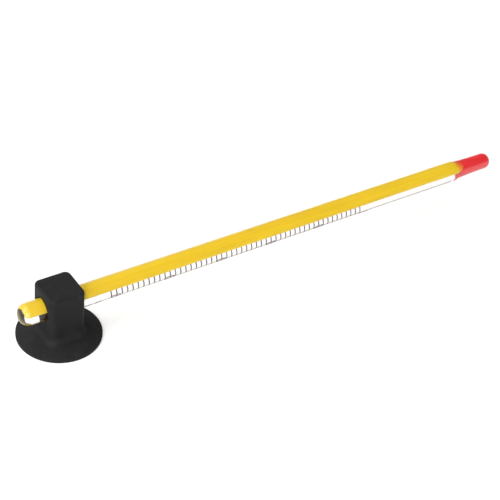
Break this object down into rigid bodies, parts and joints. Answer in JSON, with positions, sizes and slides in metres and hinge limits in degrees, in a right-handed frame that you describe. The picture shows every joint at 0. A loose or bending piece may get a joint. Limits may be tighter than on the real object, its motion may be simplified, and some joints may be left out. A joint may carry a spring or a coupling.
{
  "type": "aquarium thermometer",
  "caption": "Slim glass stem thermometer with an enamel back, printed scale and red spirit bulb, held in a square-headed rubber suction cup.",
  "frame": {"origin": "centre of the suction cup's seat, on the plane of the wall that it sticks to", "axes": "+X along the stem from its sealed top end to its bulb, +Z away from the wall, +Y completes the right-handed frame; the printed front of the stem faces -Z, to be read through the tank's glass"},
  "size_m": [0.15, 0.0216, 0.0153],
  "materials": {
    "suction_cup": "matt black moulded rubber",
    "stem_glass": "clear, fire polished",
    "enamel_strip": "opaque yellow enamel",
    "bulb_glass": "clear, fire polished",
    "spirit": "red dyed spirit",
    "scale_ink": "dark fired ink"
  },
  "bodies": {
    "holder": {"suction_cup": "suction_cup"},
    "spirit": {"spirit_reservoir": "spirit"},
    "glass": {"stem_glass": "stem_glass", "bulb_glass": "bulb_glass", "enamel_strip": "enamel_strip", "degree_lines": "scale_ink", "five_degree_lines": "scale_ink", "ten_degree_lines": "scale_ink", "scale_numerals": "scale_ink", "unit_mark": "scale_ink"},
    "column": {"spirit_thread": "spirit"}
  },
  "joints": [
    {"name": "stem_slide", "type": "slide", "parent": "holder", "child": "spirit", "axis": [1, 0, 0], "range_m": [-0.11, 0.004]},
    {"name": "stem_turn", "type": "hinge", "parent": "spirit", "child": "glass", "pos_m": [0, 0, 0.0099], "axis": [1, 0, 0], "continuous": true},
    {"name": "reading", "type": "slide", "parent": "spirit", "child": "column", "axis": [-1, 0, 0], "range_m": [-0.03744, 0.04056], "deforming": ["spirit_thread"]}
  ]
}
